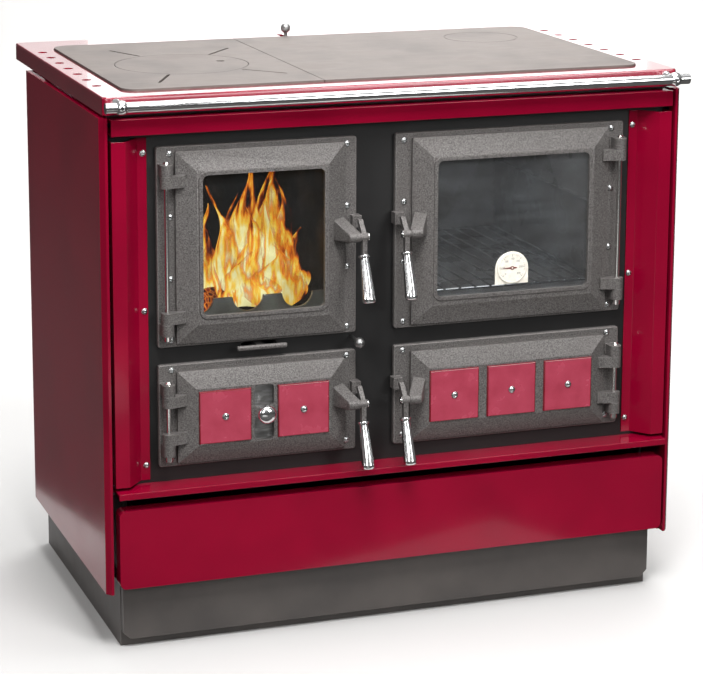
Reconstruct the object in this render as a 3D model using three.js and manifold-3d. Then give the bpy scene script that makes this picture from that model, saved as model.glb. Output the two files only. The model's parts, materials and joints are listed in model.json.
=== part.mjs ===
import * as THREE from "three";
import { ConvexGeometry } from "three/addons/geometries/ConvexGeometry.js";
import { mergeVertices } from "three/addons/utils/BufferGeometryUtils.js";
import Module from "manifold-3d";

const wasm = await Module();
wasm.setup();

// Millimetres. x runs right from the middle, y back from the front of the top frame, z up from the floor.
const width = 900;
const depth = 590;
const height = 830;
const fit = 0.3; // left between pieces that touch
const sheetThick = 1.5;
const plateThick = 3;

// Levels, from the floor up
const plinthHigh = 97;
const drawerLow = plinthHigh + 4.5;
const drawerHigh = drawerLow + 119.5;
const sillLow = drawerHigh + 19;
const sillHigh = sillLow + 9.5;
const frameThick = 26;
const frameLow = height - frameThick;
const headerHigh = frameLow - 6;
const headerLow = headerHigh - 24;

// The welded core
const coreHalf = width / 2 - 30;
const coreThick = 4;
const coreInner = coreHalf - coreThick;
const coreBack = depth - 82;
const plateFront = 24; // front face of the front plate
const coreFront = plateFront + plateThick + fit;
const divide = -33; // middle of the post between the left and right doors
const hearthHigh = sillLow + 1; // top of the floor under both compartments
const shelfHigh = 440; // top of the shelf under fire and oven
const coreHigh = frameLow - fit;

// Doors
const frameFront = 15.5; // front face of the cast door frames
const frameOuter = width / 2 - 81;
const hingeX = width / 2 - 92.5;
const hingeY = 2;
const leafEdge = 9; // front of a leaf at its rim
const leafBack = frameFront - fit;
const leafTop = -2; // front of the raised middle of a leaf
const slope = { glazed: 29, tiled: 26 }; // width of the slanting border of a leaf
const pinRadius = 3.5;
const knuckleRadius = 9.5;
const doors = {
  fire: { side: -1, low: 454, high: headerLow - 22, post: 30.3, latch: 19.7, lid: 7, pin: 16 },
  oven: { side: 1, low: 454, high: headerLow - 22, post: 30.4, latch: 25.1, lid: 7, pin: 16 },
  ash: { side: -1, low: sillHigh + 23.5, high: 428, post: 30.3, latch: 19.7, lid: 10, pin: 15 },
  lower: { side: 1, low: sillHigh + 23.5, high: 428, post: 30.4, latch: 25.1, lid: 10, pin: 15 },
};

// Glass, tiles and seals
const glassThick = 4;
const glassFront = 3.3;
const glassInset = { hinge: 37.2, latch: 36, low: 42.5, high: 35 };
const glassLap = 10;
const bead = 6;
const tileThick = 6;
const tileMargin = 3.75; // above and below a tile, on the raised middle of its leaf
const tileRows = {
  ash: { count: 2, strip: 41, margin: 3 },
  lower: { count: 3, strip: 14, margin: 0.2 },
};
const tileFront = -5;
const sealIn = 5;
const sealWide = 8;

// Handles
const handleY = -26;
const leverPlane = 33.3; // from the middle of the post
const leverHalf = 3.5;
const finger = { back: 17, up: 20, tip: 3.5 }; // from the pivot of the handle to its tip
const hubLift = 6;
const gripLean = THREE.MathUtils.degToRad(20);

// Cooktop
const border = { side: 41, front: 39.5, back: 78.5 };
const cooktopThick = 8;
const cooktopHigh = height + 3;
const ledge = 12;
const seam = -105;
const lid = { x: (seam + border.side - width / 2) / 2 - 4.5, y: 259.5, radius: 102 };

// Shapes -------------------------------------------------------------

const X = new THREE.Vector3(1, 0, 0);
const Y = new THREE.Vector3(0, 1, 0);
const Z = new THREE.Vector3(0, 0, 1);
const front = Y.clone().negate();

// A closed geometry as a solid that can be joined and cut.
function solid(geometry) {
  geometry.deleteAttribute("normal");
  geometry.deleteAttribute("uv");
  const merged = mergeVertices(geometry, 1e-4);
  return new wasm.Manifold(
    new wasm.Mesh({
      numProp: 3,
      vertProperties: merged.attributes.position.array,
      triVerts: new Uint32Array(merged.index.array),
    }),
  );
}

const join = (...solids) => solids.reduce((a, b) => a.add(b));
const cut = (body, ...tools) => tools.reduce((a, b) => a.subtract(b), body);

function box(x0, x1, y0, y1, z0, z1) {
  const g = new THREE.BoxGeometry(x1 - x0, y1 - y0, z1 - z0);
  g.translate((x0 + x1) / 2, (y0 + y1) / 2, (z0 + z1) / 2);
  return solid(g);
}

// Outlines are lists of [u, v]: across x and y for axis z, y and z for axis x, x and z for axis y.
function rect([u0, u1, v0, v1], radius = 0, steps = 3) {
  const corners = [
    [u1, v1, 0],
    [u0, v1, 1],
    [u0, v0, 2],
    [u1, v0, 3],
  ];
  if (!radius) return corners.map(([u, v]) => [u, v]);
  return corners.flatMap(([u, v, turn]) => {
    const cu = u === u1 ? u1 - radius : u0 + radius;
    const cv = v === v1 ? v1 - radius : v0 + radius;
    return Array.from({ length: steps + 1 }, (_, i) => {
      const a = ((turn + i / steps) * Math.PI) / 2;
      return [cu + radius * Math.cos(a), cv + radius * Math.sin(a)];
    });
  });
}

const circle = (u, v, radius, steps = 16) =>
  Array.from({ length: steps }, (_, i) => {
    const a = ((i + 0.5) / steps) * 2 * Math.PI;
    return [u + radius * Math.cos(a), v + radius * Math.sin(a)];
  });

const inset = ([u0, u1, v0, v1], by) => [u0 + by, u1 - by, v0 + by, v1 - by];

function prism(axis, outline, from, to, holes = []) {
  const points = (list) => list.map(([u, v]) => new THREE.Vector2(u, v));
  const shape = new THREE.Shape(points(outline));
  shape.holes = holes.map((hole) => new THREE.Path(points(hole)));
  const g = new THREE.ExtrudeGeometry(shape, { depth: to - from, bevelEnabled: false });
  const basis = {
    x: [Y, Z, X],
    y: [X, Z, Y.clone().negate()],
    z: [X, Y, Z],
  }[axis];
  g.applyMatrix4(new THREE.Matrix4().makeBasis(...basis));
  g.translate(axis === "x" ? from : 0, axis === "y" ? to : 0, axis === "z" ? from : 0);
  return solid(g);
}

function place(axis, [u, v], w) {
  if (axis === "x") return new THREE.Vector3(w, u, v);
  if (axis === "y") return new THREE.Vector3(u, w, v);
  return new THREE.Vector3(u, v, w);
}

// The convex body around outlines that lie at levels of one axis.
const taper = (axis, ...levels) =>
  solid(new ConvexGeometry(levels.flatMap(([outline, w]) => outline.map((p) => place(axis, p, w)))));

const rod = (axis, [u, v], radius, from, to, steps = 16) =>
  prism(axis, circle(u, v, radius, steps), from, to);

// A turned body: the profile is a list of [radius, height] along a direction from a base point.
function turned(profile, base, direction = Z, steps = 16) {
  const g = new THREE.LatheGeometry(
    profile.map(([r, h]) => new THREE.Vector2(r, h)),
    steps,
  );
  g.applyQuaternion(new THREE.Quaternion().setFromUnitVectors(Y, direction.clone().normalize()));
  g.translate(...base);
  return solid(g);
}

// A bent sheet: the line of its outside, and the same line moved over by the thickness.
function folded(line, thick = sheetThick) {
  const p = line.map(([u, v]) => new THREE.Vector2(u, v));
  const sides = p.slice(1).map((q, i) => {
    const d = q.clone().sub(p[i]).normalize();
    return new THREE.Vector2(-d.y, d.x);
  });
  const inner = p.map((q, i) => {
    const a = sides[Math.max(i - 1, 0)];
    const m = a.clone().add(sides[Math.min(i, sides.length - 1)]);
    return q.clone().addScaledVector(m, (2 * thick) / m.lengthSq());
  });
  return [...p, ...inner.reverse()].map((q) => [q.x, q.y]);
}

const mirror = (body) => body.mirror([1, 0, 0]);

// Colours and surfaces ------------------------------------------------

const finishes = {
  crimson: { color: 0x7d0a22, roughness: 0.22, metalness: 0 },
  castGrey: { color: 0x5f5b59, roughness: 0.7, metalness: 0.6 },
  castPlate: { color: 0x8d8785, roughness: 0.55, metalness: 0.7 },
  blackSteel: { color: 0x1f1d1b, roughness: 0.5, metalness: 0.3 },
  brownSteel: { color: 0x45403f, roughness: 0.55, metalness: 0.3 },
  bareSteel: { color: 0x8a8a88, roughness: 0.45, metalness: 0.9 },
  chrome: { color: 0xd5d7d9, roughness: 0.12, metalness: 1 },
  glass: { color: 0x0d1117, roughness: 0.05, metalness: 0 },
  rope: { color: 0x8b867c, roughness: 0.95, metalness: 0 },
  brick: { color: 0xb9a183, roughness: 0.95, metalness: 0 },
  ovenEnamel: { color: 0x16171a, roughness: 0.3, metalness: 0 },
  dial: { color: 0xd9d6cf, roughness: 0.4, metalness: 0.2 },
};

const stove = new THREE.Group();
stove.name = "stove";
stove.position.y = -depth / 2;

function add(name, body, finish) {
  const { vertProperties, triVerts } = body.getMesh();
  const g = new THREE.BufferGeometry();
  g.setAttribute("position", new THREE.BufferAttribute(vertProperties, 3));
  g.setIndex(new THREE.BufferAttribute(triVerts, 1));
  g.computeVertexNormals();
  const mesh = new THREE.Mesh(g, new THREE.MeshStandardMaterial(finishes[finish]));
  mesh.name = name;
  stove.add(mesh);
}

// Door measures --------------------------------------------------------

for (const [name, door] of Object.entries(doors)) {
  const { side, low, high, post, latch, lid: over } = door;
  const latchEdge = divide + side * post;
  const across = (hingeSide, latchSide) =>
    [side * hingeSide, latchSide].sort((a, b) => a - b);
  door.frame = [...across(frameOuter, latchEdge), low, high];
  door.leaf = [...across(frameOuter - 27, latchEdge + side * latch), low + 5.5, high - over];
  door.opening = inset(door.leaf, 14);
  door.hub = (door.leaf[2] + door.leaf[3]) / 2 + hubLift;
  door.plane = divide + side * leverPlane;
  door.axis = [side * hingeX, hingeY];
  door.row = tileRows[name];
}
const middle = ([from, to]) => (from + to) / 2;

function glassOpening({ side, leaf: [x0, x1, z0, z1] }) {
  const { hinge, latch, low, high } = glassInset;
  const [left, right] = side < 0 ? [hinge, latch] : [latch, hinge];
  return [x0 + left, x1 - right, z0 + low, z1 - high];
}

// Places of the knuckles on one pin: the frame's are outside, the leaf's between them.
function knuckles({ leaf: [, , z0, z1], pin }) {
  const low = z0 + pin;
  const high = z1 - pin - 1;
  const tall = 17;
  return {
    frame: [
      [low, low + tall],
      [high - tall, high],
    ],
    leaf: [
      [low + tall + fit, low + 2 * tall + fit],
      [high - 2 * tall - fit, high - tall - fit],
    ],
  };
}

const pinHole = ({ axis, frame }) =>
  rod("z", axis, pinRadius + 0.5, frame[2] - 20, frame[3] + 20);

const pilaster = { low: sillHigh + 4.5, high: headerLow - 8, flange: 22 };
const panelOuter = width / 2 + 5.5;
// Brackets that carry a side panel
const panelSeats = [
  [coreFront + 11, frameLow - 36],
  [coreBack - 45, frameLow - 34],
];

// Plinth and drawer ------------------------------------------------------

const plinthHalf = width / 2 - 21;
const plinthFront = 25;
const plinthBack = coreBack + 2;
const bayHigh = plinthHigh + fit + plateThick;

function plinth() {
  const outer = [-plinthHalf, plinthHalf, plinthFront, plinthBack];
  const walls = prism("z", rect(outer), 0, plinthHigh, [rect(inset(outer, plateThick))]);
  const flange = (low) =>
    prism("z", rect(outer), low, low + plateThick, [rect(inset(outer, 30))]);
  const half = depth / 2;
  const brace = box(-plinthHalf + 10, plinthHalf - 10, half - 30, half + 30, 0, plateThick);
  add("plinth_frame", join(walls, flange(0), flange(plinthHigh - plateThick), brace), "brownSteel");

  const half2 = plinthHalf - 1;
  const panelFront = plinthFront - 13.5;
  const line = [
    [-half2, plinthFront - fit],
    [-half2, panelFront],
    [half2, panelFront],
    [half2, plinthFront - fit],
  ];
  const panel = prism("z", folded(line), 14, plinthHigh);
  const corner = [
    [half2 - 12, 13],
    [half2 + 2, 13],
    [half2 + 2, 27],
  ];
  const chamfer = prism("y", corner, panelFront - 1, plinthFront + 1);
  add("plinth_panel", cut(panel, chamfer, mirror(chamfer)), "brownSteel");
}

const drawerHalf = width / 2 - 12.7;
const drawerFace = -14;
const drawerReturn = 24;
const runnerHigh = bayHigh + 10;

function drawer() {
  const outline = [-drawerHalf, drawerHalf, drawerLow, drawerHigh];
  const shell = prism("y", rect(outline, 9, 4), drawerFace, drawerFace + drawerReturn);
  const hollow = prism("y", rect(inset(outline, sheetThick), 7.5, 4),
    drawerFace + sheetThick, drawerFace + drawerReturn + 1);
  add("drawer_front", cut(shell, hollow), "crimson");

  const half = coreInner - 8;
  const y0 = drawerFace + sheetThick + fit;
  const y1 = coreBack - 38;
  const low = runnerHigh + fit;
  const outer = box(-half, half, y0, y1, low, drawerHigh - 6);
  const inner = box(-half + 2, half - 2, y0 + 2, y1 - 2, low + 2, drawerHigh);
  add("drawer_box", cut(outer, inner), "blackSteel");

}

// Body -------------------------------------------------------------------

const flue = { x: -10, half: 100, low: 560, high: frameLow - 9, back: depth - 15, radius: 75 };
const flueZ = (flue.low + flue.high) / 2;
const damper = { x: -11, front: depth - 76.5, travel: 34, stem: 3 };
const grate = { x: middle(doors.fire.leaf), half: 52, y0: 140, y1: 390, travel: 20, barZ: 446 };
const airRod = { x: -68.6, z: 445.5, blade: 82 };
const airPort = [airRod.x - 20, airRod.x + 20, airRod.blade + 8, airRod.blade + 45];

function carcass() {
  const wall = box(coreInner, coreHalf, coreFront, coreBack, plinthHigh + fit, coreHigh);
  const back = box(-coreHalf, coreHalf, coreBack - coreThick, coreBack, plinthHigh + fit, coreHigh);
  const shelf = (high, x0 = -coreHalf, x1 = coreHalf) =>
    box(x0, x1, coreFront, coreBack, high - plateThick, high);
  const post = box(divide - 2, divide + 2, coreFront, coreBack, hearthHigh - 1, coreHigh - 30);
  const bracket = ([y, z]) =>
    box(coreHalf - 1, panelOuter - sheetThick - fit, y - 10, y + 10, z - 10, z + 10);
  const brackets = join(...panelSeats.map(bracket));
  const railEnd = coreBack - 38;
  const rail = join(
    box(coreInner - 22, coreInner + 1, coreFront + 12, railEnd, runnerHigh - plateThick, runnerHigh),
    box(coreInner - 3, coreInner + 1, coreFront + 12, railEnd, bayHigh - 1, runnerHigh),
  );
  const body = join(wall, mirror(wall), back, shelf(bayHigh), shelf(hearthHigh), shelf(shelfHigh),
    post, brackets, mirror(brackets), rail, mirror(rail));
  const flueHole = rod("y", [flue.x, flueZ], flue.radius - 5, coreBack - 9, coreBack + 1);
  const overPass = box(flue.x - 90, flue.x + 90, coreBack - 9, coreBack + 1, coreHigh - 28, coreHigh + 1);
  const ashFall = box(grate.x - 75, grate.x + 75, grate.y0 - 10, grate.y1 + 10,
    shelfHigh - 9, shelfHigh + 1);
  const port = box(...airPort, shelfHigh - 9, shelfHigh + 1);
  add("carcass", cut(body, flueHole, overPass, ashFall, port),
    "blackSteel");
}

function frontPlate() {
  const half = coreHalf + 18;
  let plate = box(-half, half, plateFront, plateFront + plateThick, sillLow - 4, coreHigh);
  for (const door of Object.values(doors)) {
    const opening = prism("y", rect(door.opening, 8, 2), plateFront - 1, plateFront + 9);
    plate = cut(plate, opening);
  }
  const slot = prism("y", rect([grate.x - 28, grate.x + 28, grate.barZ - 5, grate.barZ + 5], 4, 2),
    plateFront - 1, plateFront + 9);
  const rodHole = rod("y", [airRod.x, airRod.z], 3.6, plateFront - 1, plateFront + 9, 12);
  add("front_plate", cut(plate, slot, rodHole), "blackSteel");
}

function sidePanels() {
  const corner = panelOuter - 6.5;
  const line = [
    [corner - 4, 16],
    [corner - 4, -6],
    [corner, -6],
    [panelOuter, 3],
    [panelOuter, coreBack - 26],
    [panelOuter - 14, coreBack - 26],
  ];
  const low = plinthHigh - 5;
  const high = frameLow - 4;
  const sheet = prism("z", folded(line), low, high);
  const hem = (z) => box(panelOuter - 14, panelOuter - 1, 8, coreBack - 27, z, z + sheetThick);
  const right = join(sheet, hem(low), hem(high - sheetThick));
  add("side_panel_right", right, "crimson");
  add("side_panel_left", mirror(right), "crimson");
}

function pilasters() {
  const out = width / 2 - 10;
  const line = [
    [width / 2 - 69, pilaster.flange],
    [width / 2 - 54.5, pilaster.flange],
    [width / 2 - 31.4, -6],
    [out, -6],
    [out, plateFront - fit],
  ];
  const right = prism("z", folded(line), pilaster.low, pilaster.high);
  add("pilaster_right", right, "crimson");
  add("pilaster_left", mirror(right), "crimson");
}

function trims() {
  const half = width / 2 - 10;
  const back = plateFront - fit;
  const header = [
    [back, headerLow + 9],
    [back, headerLow],
    [-8, headerLow],
    [-8, headerHigh],
    [back, headerHigh],
    [back, headerHigh - 9],
  ];
  const sill = [
    [back, sillLow],
    [back, sillHigh],
    [-21, sillHigh],
    [-21, sillLow],
  ];
  add("header_fascia", prism("x", folded(header, -sheetThick), -half, half), "crimson");
  add("sill_strip", prism("x", folded(sill), -half + 1, half - 1), "crimson");
}

// Top frame and cooktop ----------------------------------------------------

const cooktop = [-width / 2 + border.side, width / 2 - border.side, border.front, depth - border.back];

function topFrame() {
  const outer = [-width / 2, width / 2, 0, depth];
  const shell = taper("z", [rect(outer, 8), frameLow], [rect(outer, 8), height - 2.5],
    [rect(inset(outer, 1), 7), height - 0.7], [rect(inset(outer, 2.5), 6), height]);
  const hole = prism("z", rect(cooktop, 25, 5), frameLow - 1, height + 1);
  const lip = cooktopHigh - cooktopThick - fit;
  const shelf = prism("z", rect(inset(cooktop, -2), 26, 5), lip - 12, lip,
    [rect(inset(cooktop, ledge), 14, 3)]);
  const web = inset(cooktop, -10);
  web[2] = plateFront - 2;
  const pocket = prism("z", rect(inset(outer, 8), 3, 2), frameLow - 1, height - 6, [rect(web, 4, 2)]);
  const pitch = 59.6;
  const vents = Array.from({ length: 7 }, (_, i) =>
    rod("z", [width / 2 - 18, depth / 2 - 9 + (i - 3) * pitch], 7.5, frameLow, height + 1, 16));
  const slot = [damper.x - 4.5, damper.x + 4.5, damper.front, damper.front + damper.travel + 9];
  const slotHole = prism("z", rect(slot, 4.4, 4), frameLow - 1, height + 1);
  const body = join(cut(shell, hole, pocket), shelf);
  add("top_frame", cut(body, ...vents, ...vents.map(mirror), slotHole), "crimson");
}

function cooktops() {
  const low = cooktopHigh - cooktopThick;
  const gap = 1.2;
  const whole = rect(inset(cooktop, gap), 25 - gap, 5);
  const sheet = prism("z", whole, low, cooktopHigh);
  const [x0, x1, y0, y1] = cooktop;
  const leftHalf = box(x0 - 1, seam - 0.5, y0 - 1, y1 + 1, low - 1, cooktopHigh + 1);
  const rightHalf = box(seam + 0.5, x1 + 1, y0 - 1, y1 + 1, low - 1, cooktopHigh + 1);
  const at = [lid.x, lid.y];
  const upper = rod("z", at, lid.radius + 0.8, cooktopHigh - 4, cooktopHigh + 1, 48);
  const lower = rod("z", at, lid.radius - 8, low - 1, cooktopHigh, 40);
  const slots = [112, 51, -48, -115.6].map((degrees) => {
    const a = THREE.MathUtils.degToRad(degrees);
    const outline = rect([lid.radius + 5, lid.radius + 85, -2.2, 2.2], 2.1, 2);
    const bar = prism("z", outline, low - 1, cooktopHigh + 1);
    const turn = new THREE.Matrix4().makeRotationZ(a).setPosition(lid.x, lid.y, 0);
    return bar.transform(turn.elements);
  });
  add("cooktop_left", cut(sheet.intersect(leftHalf), upper, lower, ...slots), "castPlate");
  const ringAt = [289, 400];
  const groove = prism("z", circle(...ringAt, 60.8, 40), cooktopHigh - 0.6, cooktopHigh + 1,
    [circle(...ringAt, 59.4, 40)]);
  add("cooktop_right", cut(sheet.intersect(rightHalf), groove), "castPlate");

  const disc = rod("z", at, lid.radius, cooktopHigh - 4 + fit, cooktopHigh, 48);
  const boss = rod("z", at, lid.radius - 9, low - 2, cooktopHigh - 3, 40);
  const lift = rod("z", [lid.x + 65.5, lid.y + 13.5], 6.5, cooktopHigh - 6, cooktopHigh + 1, 14);
  add("cooking_lid", cut(join(disc, boss), lift), "castPlate");
}

function damperSlide() {
  const [x, y] = [damper.x, damper.front + 4.5];
  const low = flue.high + fit;
  const blade = box(flue.x - 65, flue.x + 65, depth - 78, depth - 46, low, low + 2);
  const stem = rod("z", [x, y], damper.stem, low + 1, height + 10, 12);
  const knob = turned(
    [
      [0, height + 8],
      [4, height + 8],
      [7.5, height + 12],
      [7.5, height + 18],
      [5, height + 22],
      [0, height + 22],
    ],
    [x, y, 0],
  );
  add("damper_slide", join(blade, stem, knob), "bareSteel");
}

function railAndBrackets() {
  const y = -31;
  const z = frameLow + 15;
  const half = width / 2 + 4;
  const end = half - 1.5;
  const profile = [
    [0, -half],
    [6.5, -half],
    [8, -end],
    [8, end],
    [6.5, half],
    [0, half],
  ];
  add("rail", turned(profile, [0, y, z], X, 24), "chrome");
  const x = width / 2 - 19.5;
  const ball = solid(new THREE.SphereGeometry(11, 14, 8).translate(x, y, z));
  const stub = turned(
    [
      [0, 6],
      [6, 6],
      [6, 16],
      [9, -y - 4],
      [9, -y - fit],
      [0, -y - fit],
    ],
    [x, y, z],
    Y,
  );
  const bore = rod("x", [y, z], 8 + fit, x - 20, x + 20, 24);
  const key = rod("y", [x, z], 2.6, y - 20, y, 6);
  const bracket = cut(join(ball, stub), bore, key);
  add("rail_bracket_right", bracket, "chrome");
  add("rail_bracket_left", mirror(bracket), "chrome");
}

// Doors ----------------------------------------------------------------------

function doorFrame(door, name) {
  const { axis, plane, hub, frame, opening } = door;
  const plate = taper("y", [rect(inset(frame, 1.2), 3, 2), frameFront],
    [rect(frame, 4, 2), frameFront + 1.5], [rect(frame, 4, 2), plateFront - fit]);
  const barrels = knuckles(door).frame.map(([z0, z1]) => {
    const foot = rect([axis[0] - 9.5, axis[0] + 9.5, frameFront, frameFront + 3]);
    return taper("z", [[...circle(...axis, knuckleRadius, 20), ...foot], z0],
      [[...circle(...axis, knuckleRadius, 20), ...foot], z1]);
  });
  // The catch is a strike block just behind the arc that the handle's finger turns through.
  const reach = handleY + Math.hypot(finger.back, finger.up) + finger.tip;
  const strike = box(plane - 7, plane + 7, reach + fit, frameFront + 5, hub + 8, hub + 26);
  const hole = prism("y", rect(opening, 8, 2), 0, plateFront + 1);
  const body = join(cut(plate, hole), strike, ...barrels);
  add(name + "_door_frame", join(body, hingePin(door)), "castGrey");
}

function leafBody(door) {
  const { leaf, side, axis, hub } = door;
  const glazed = door.high > headerLow - 30;
  const border = glazed ? slope.glazed : slope.tiled;
  const rim = prism("y", rect(leaf, 3, 2), leafEdge, leafBack);
  const raised = taper("y", [rect(leaf), leafEdge + 0.5], [rect(inset(leaf, 0.5)), leafEdge],
    [rect(inset(leaf, border)), leafTop]);
  let body = join(rim, raised.intersect(prism("y", rect(leaf, 3, 2), -20, leafBack)));

  if (glazed) {
    const open = glassOpening(door);
    const ring = taper("y", [rect(inset(open, -bead - 1), 14, 4), leafTop + 1],
      [rect(inset(open, -bead + 1), 12, 4), leafTop - 2]);
    const seat = prism("y", rect(inset(open, -glassLap - fit), 3, 2), glassFront - fit, leafBack + 1);
    body = cut(join(body, ring), prism("y", rect(open, 8, 4), -20, leafBack + 1), seat);
  } else {
    const pocket = prism("y", rect(inset(leaf, 20), 3, 2), 6, leafBack + 1);
    const recesses = tileOutlines(door).map((outline) =>
      prism("y", rect(inset(outline, -fit)), leafTop - 5, tileFront + tileThick + fit));
    body = cut(body, pocket, ...recesses);
  }

  const groove = prism("y", rect(inset(leaf, sealIn - fit), 4, 2), leafBack - 3, leafBack + 1,
    [rect(inset(leaf, sealIn + sealWide + fit), 4, 2)]);
  body = cut(body, groove);

  // Boss and barrel that carry the handle, swept out of the free edge.
  const free = side < 0 ? leaf[1] : leaf[0];
  const foot = [free + side * 5, free + side * 25].sort((a, b) => a - b);
  const ends = [40, 57].map((k) => divide + side * k);
  const footRect = rect([...foot, hub - 8, hub + 26]);
  const boss = solid(new ConvexGeometry([
    ...footRect.map(([x, z]) => new THREE.Vector3(x, leafEdge + 0.5, z)),
    ...ends.flatMap((x) => circle(handleY, hub, 7.5, 16).map((p) => place("x", p, x))),
  ]));
  const barrels = knuckles(door).leaf.map(([z0, z1]) => {
    const edge = side * (frameOuter - 27);
    const arm = [edge - side * 12, edge - side * 2].sort((a, b) => a - b);
    const outline = [...circle(...axis, knuckleRadius, 20), ...rect([...arm, leafTop + 3, leafEdge + 1])];
    return taper("z", [outline, z0], [outline, z1]);
  });
  const boreEnds = [38, 59].map((k) => divide + side * k).sort((a, b) => a - b);
  const bore = rod("x", [handleY, hub], pinRadius + 0.5, ...boreEnds);
  return cut(join(body, boss, ...barrels), bore, pinHole(door));
}

// Tiles stand in a row on the raised middle of their leaf, with equal strips between them.
function tileOutlines({ leaf, row }) {
  const [x0, x1, z0, z1] = inset(leaf, slope.tiled);
  const { count, strip, margin } = row;
  const wide = (x1 - x0 - 2 * margin - (count - 1) * strip) / count;
  return Array.from({ length: count }, (_, i) => {
    const left = x0 + margin + i * (wide + strip);
    return [left, left + wide, z0 + tileMargin, z1 - tileMargin];
  });
}

function leverAndGrip(door, name) {
  const { plane, hub, side } = door;
  const x = [plane - leverHalf, plane + leverHalf];
  const bar = (outline) => taper("x", [outline, x[0]], [outline, x[1]]);
  const along = new THREE.Vector2(-Math.sin(gripLean), -Math.cos(gripLean));
  const foot = new THREE.Vector2(handleY - 1, hub - 27);
  const end = [-4.5, 4.5].map((k) => [
    foot.x - along.x * fit + k * Math.cos(gripLean),
    foot.y - along.y * fit - k * Math.sin(gripLean),
  ]);
  const arm = bar([...circle(handleY, hub, 5, 16), ...end]);
  const tip = circle(handleY + finger.back, hub + finger.up, finger.tip, 12);
  const prong = bar([...circle(handleY, hub, 5, 16), ...tip]);
  const span = (a, b) => [a, b].map((k) => divide + side * k).sort((p, q) => p - q);
  const hubBody = rod("x", [handleY, hub], 6, ...span(27, 40 - fit), 20);
  const pin = rod("x", [handleY, hub], pinRadius, ...span(39, 56.5), 16);
  add(name + "_lever", join(arm, prong, hubBody, pin), "castGrey");

  const profile = [
    [0, 0],
    [8.5, 0],
    [9, 0.8],
    [9, 3.5],
    [6.8, 4],
    [7, 12],
    [9.2, 46],
    [10, 66],
    [9.2, 70.5],
    [6, 72.5],
    [0, 72.5],
  ];
  const direction = new THREE.Vector3(0, along.x, along.y);
  add(name + "_grip", turned(profile, [plane, foot.x, foot.y], direction, 20), "chrome");
}

function seal(door, name) {
  const ring = prism("y", rect(inset(door.leaf, sealIn), 4, 2), leafBack - 3 + fit, leafBack + 0.1,
    [rect(inset(door.leaf, sealIn + sealWide), 4, 2)]);
  add(name + "_seal", ring, "rope");
}

function glazing(door, name) {
  const pane = rect(inset(glassOpening(door), -glassLap), 3, 2);
  add(name + "_glass", prism("y", pane, glassFront, glassFront + glassThick), "glass");
}

function tileSet(name) {
  tileOutlines(doors[name]).forEach((outline, i) => {
    const body = taper("y", [rect(inset(outline, 1)), tileFront], [rect(outline), tileFront + 1],
      [rect(outline), tileFront + tileThick]);
    add(name + "_tile_" + (i + 1), body, "crimson");
  });
}

// The pin is pressed into the frame's two knuckles, with a finial above and a nut below.
function hingePin(door) {
  const [[low], [, high]] = knuckles(door).frame;
  return turned(
    [
      [0, low - 8],
      [5.5, low - 8],
      [5.5, low + 1],
      [pinRadius, low + 1],
      [pinRadius, high - 1],
      [5, high - 1],
      [5.5, high + 2],
      [3.2, high + 4.5],
      [0, high + 5.5],
    ],
    [...door.axis, 0],
  );
}

// Pieces of single doors -----------------------------------------------------------

// The bridge between the two air slots is split, so the neck of the knob runs in an open gap.
const air = { x: middle(doors.ash.leaf), half: 15, reach: 42.5, bridge: 8, gap: 6.5, neck: 4 };

function ashLeaf() {
  const level = middle(doors.ash.leaf.slice(2));
  const side = [air.x - air.half, air.x + air.half];
  const slots = [
    [...side, level - air.reach, level - air.bridge],
    [...side, level + air.bridge, level + air.reach],
  ].map((r) => prism("y", rect(r, 6, 3), -20, leafBack + 1));
  const split = box(air.x - air.gap, air.x + air.gap, -20, leafBack + 1,
    level - air.bridge - 1, level + air.bridge + 1);
  add("ash_leaf", cut(leafBody(doors.ash), ...slots, split), "castGrey");

  const valve = prism("y", rect([air.x - 19, air.x + 19, level - 46.5, level + 46.5], 6, 3),
    6 + fit, 6 + fit + sheetThick, [circle(air.x, level, 4.4, 16)]);
  add("air_valve", valve, "bareSteel");

  // Heights run forwards from the leaf's raised face. The heavy disc keeps the plate on the spindle.
  const back = leafTop - 11;
  const knob = turned(
    [
      [0, back - 12],
      [3.6, back - 12],
      [3.6, back - 7.5],
      [26, back - 7.5],
      [26, back - 2.5],
      [3.6, back - 2.5],
      [3.6, leafTop - 1],
      [air.neck, leafTop - 1],
      [air.neck, -back - 5],
      [6, -back - 4],
      [9, -back],
      [14, -back + 2],
      [14, -back + 5],
      [11, -back + 9],
      [5, -back + 11],
      [0, -back + 11],
    ],
    [air.x, 0, level],
    front,
    24,
  );
  add("air_knob", knob, "chrome");
}

function thermometer() {
  const at = [middle(glassOpening(doors.oven)), doors.oven.low + 84];
  const half = 27;
  const back = glassFront - fit;
  const arch = [
    [at[0] - half, at[1] - 25],
    [at[0] + half, at[1] - 25],
    ...Array.from({ length: 13 }, (_, i) => {
      const a = (i / 12) * Math.PI;
      return [at[0] + half * Math.cos(a), at[1] - 1 + 26 * Math.sin(a)];
    }),
  ];
  const plate = prism("y", arch, back - 1.5, back);
  const dial = turned(
    [
      [0, 0],
      [24, 0],
      [24, 2.5],
      [22.5, 3],
      [22.5, 2.4],
      [0, 2.4],
    ],
    [at[0], back - 1, at[1]],
    front,
    32,
  );
  const stud = rod("y", at, 1.2, back - 4.6, back - 2, 10);
  add("thermometer", join(plate, dial, stud), "dial");

  const y = back - 4.3;
  const hub = rod("y", at, 3, y, y + 0.6, 16);
  const hand = prism("y", [[at[0] - 19, at[1]], [at[0], at[1] - 1.4], [at[0] + 7, at[1] - 0.9],
    [at[0] + 7, at[1] + 0.9], [at[0], at[1] + 1.4]], y, y + 0.6);
  const eye = rod("y", at, 1.5, y - 1, y + 1, 12);
  add("thermometer_needle", cut(join(hub, hand), eye), "blackSteel");
}

// Inside ------------------------------------------------------------------------------

const fireLeft = -coreInner;
const fireRight = divide - 2;
const bedHigh = shelfHigh + 15;

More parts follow.
